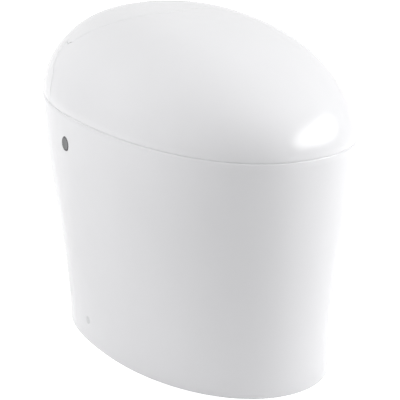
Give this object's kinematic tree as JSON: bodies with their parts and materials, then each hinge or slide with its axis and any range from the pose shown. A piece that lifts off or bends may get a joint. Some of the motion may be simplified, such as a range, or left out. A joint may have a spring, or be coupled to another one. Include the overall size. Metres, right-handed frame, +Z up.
{
  "type": "smart toilet",
  "caption": "Floor-standing smart toilet with a smooth skirted ceramic base, domed lid over the seat, fixed rear cover, wash wand, warm-air dryer, pumped flush and a round side flush button.",
  "frame": {"origin": "on the floor, in the middle of the body's length and width", "axes": "+X right seen from the front, -Y front, +Y back to the wall, +Z up"},
  "size_m": [0.4134, 0.6697, 0.557],
  "materials": {
    "ceramic": "glossy white glaze",
    "gloss_white": "polished white",
    "matt_white": "satin moulded",
    "rubber": "soft matt",
    "steel": "fine brushed",
    "dark_plastic": "matt moulded",
    "smoke": "smooth smoked",
    "board_green": "solder mask",
    "grey_plastic": "satin",
    "chrome_ring": "dark plated"
  },
  "bodies": {
    "base": {"ceramic_base": "ceramic", "rear_cover": "gloss_white", "chassis_plate": "matt_white", "seat_hinge_pin_left": "steel", "lid_damper": "dark_plastic", "hinge_bracket_left": "matt_white", "fixing_cap_left": "matt_white", "fixing_screw_left": "steel", "floor_bracket_left": "matt_white", "floor_screw_left": "steel", "seat_hinge_pin_right": "steel", "lid_drive": "dark_plastic", "hinge_bracket_right": "matt_white", "fixing_cap_right": "matt_white", "fixing_screw_right": "steel", "floor_bracket_right": "matt_white", "floor_screw_right": "steel", "outlet_seal": "rubber", "wand_cradle": "matt_white", "wand_motor": "dark_plastic", "dryer_housing": "dark_plastic", "dryer_motor": "steel", "dryer_duct": "matt_white", "dryer_flap_pin": "steel", "flush_tank": "matt_white", "flush_pump": "dark_plastic", "pump_motor": "steel", "rim_feed_pipe": "rubber", "inlet_valve": "matt_white", "inlet_stub": "steel", "power_gland": "dark_plastic", "instant_heater": "matt_white", "board_case": "dark_plastic", "control_board": "board_green", "deodorizer_filter": "dark_plastic", "sensor_window": "smoke", "button_ring": "chrome_ring", "button_switch": "dark_plastic"},
    "lid": {"lid": "gloss_white", "lid_bumper_left": "rubber", "lid_bumper_right": "rubber", "lid_shaft_left": "steel", "lid_shaft_right": "steel"},
    "seat": {"seat": "gloss_white", "seat_bumper_rear_left": "rubber", "seat_bumper_front_left": "rubber", "seat_bumper_rear_right": "rubber", "seat_bumper_front_right": "rubber"},
    "flush_button": {"flush_button": "grey_plastic"},
    "wand": {"bidet_wand": "steel", "wand_tip": "matt_white"},
    "pinion": {"wand_pinion": "grey_plastic"},
    "fan": {"dryer_fan_wheel": "grey_plastic"},
    "flap": {"dryer_flap": "matt_white"}
  },
  "joints": [
    {"name": "lid_hinge", "type": "hinge", "parent": "base", "child": "lid", "pos_m": [0, 0.16, 0.48], "axis": [-1, 0, 0], "range_deg": [0, 95]},
    {"name": "seat_hinge", "type": "hinge", "parent": "base", "child": "seat", "pos_m": [0, 0.027, 0.431], "axis": [-1, 0, 0], "range_deg": [0, 95]},
    {"name": "flush_button_press", "type": "slide", "parent": "base", "child": "flush_button", "axis": [1, 0, 0], "range_m": [0, 0.003], "stiffness_N_per_m": 400},
    {"name": "wand_slide", "type": "slide", "parent": "base", "child": "wand", "axis": [0, -0.9272, -0.3746], "range_m": [0, 0.125]},
    {"name": "pinion_spin", "type": "hinge", "parent": "base", "child": "pinion", "pos_m": [0.03, 0.08089, 0.42715], "axis": [-1, 0, 0], "range_deg": [0, 960]},
    {"name": "fan_spin", "type": "hinge", "parent": "base", "child": "fan", "pos_m": [-0.036, 0.138, 0.447], "axis": [1, 0, 0], "continuous": true},
    {"name": "flap_hinge", "type": "hinge", "parent": "base", "child": "flap", "pos_m": [-0.036, 0.0494, 0.4013], "axis": [-1, 0, 0], "range_deg": [0, 60]}
  ],
  "couplings": [
    {"joint": "seat_hinge", "follows": "lid_hinge", "ratio": 1},
    {"joint": "pinion_spin", "follows": "wand_slide", "rad_per_m": 133.33}
  ]
}
